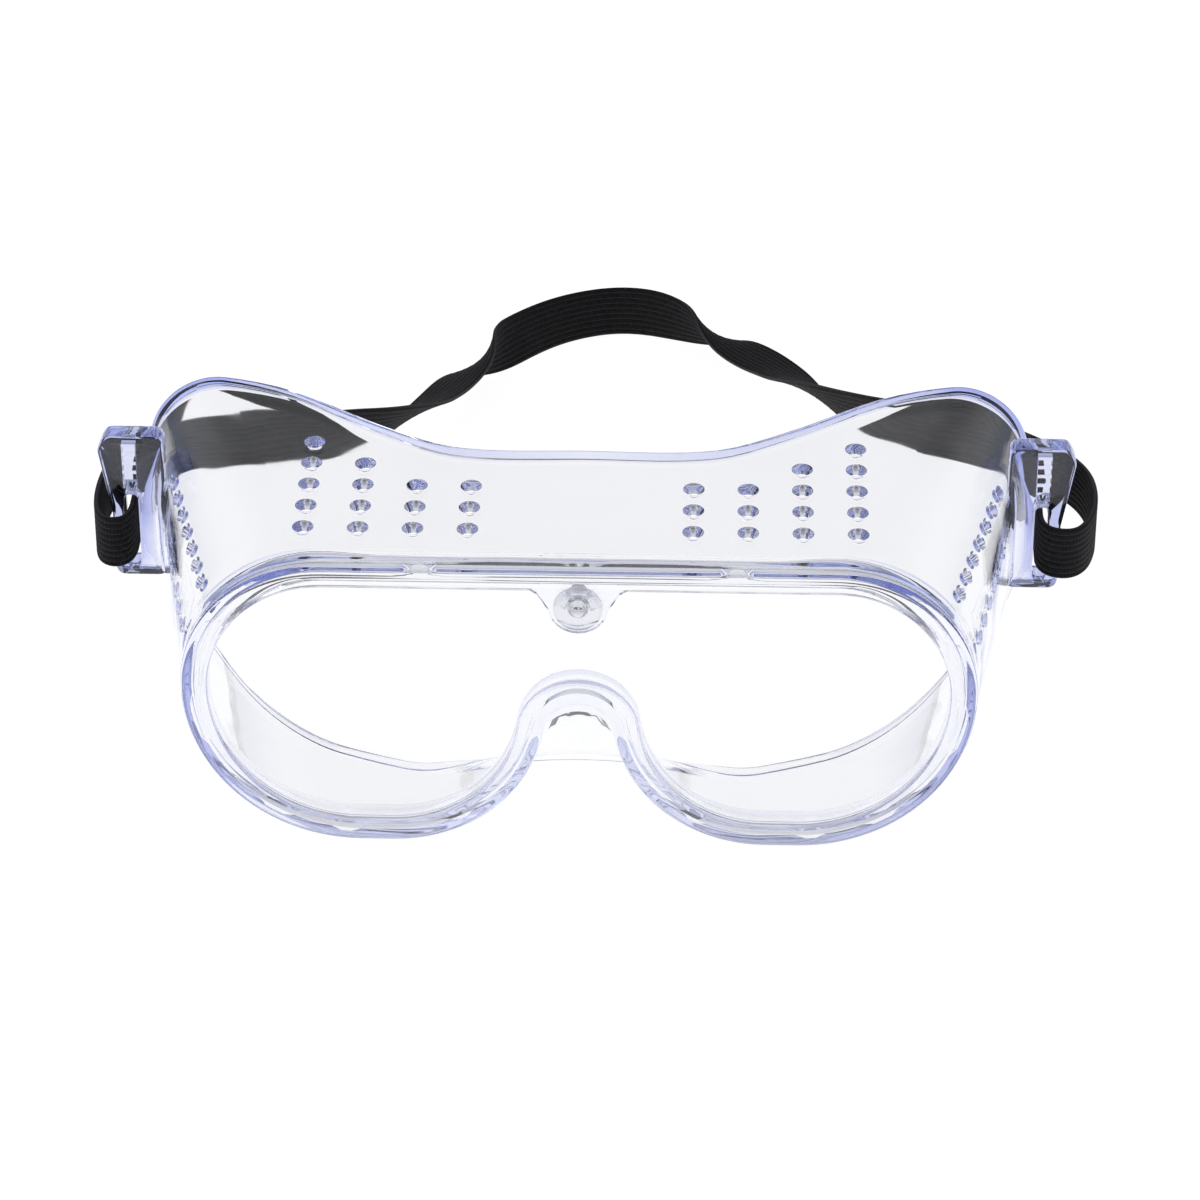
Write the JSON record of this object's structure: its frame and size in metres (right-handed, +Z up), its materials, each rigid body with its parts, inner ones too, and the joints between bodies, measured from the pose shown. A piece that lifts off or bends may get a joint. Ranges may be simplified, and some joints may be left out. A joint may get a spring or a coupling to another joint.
{
  "type": "safety goggles",
  "caption": "Clear moulded splash goggles with a flat lens in a grooved rim, a push rivet, open vents, side strap lugs and a ribbed elastic headband.",
  "frame": {"origin": "on the surface the goggles stand on, under the middle of the goggles' width and depth, measured without the headband", "axes": "+X towards the lug at the right of a front view, +Y from the lens back to the face, +Z up"},
  "size_m": [0.1905, 0.2162, 0.0644],
  "materials": {
    "soft_clear_plastic": "clear, slightly violet-blue where thick, glossy",
    "lens_plastic": "clear and polished",
    "rivet_plastic": "clear, glossy",
    "elastic_webbing": "black ribbed woven elastic"
  },
  "bodies": {
    "frame": {"frame_body": "soft_clear_plastic", "lens": "lens_plastic", "rivet_washer": "rivet_plastic", "headband": "elastic_webbing"},
    "rivet": {"lens_rivet": "rivet_plastic"}
  },
  "joints": [
    {"name": "rivet_pull", "type": "slide", "parent": "frame", "child": "rivet", "axis": [0, -1, 0], "range_m": [0, 0.006]}
  ]
}
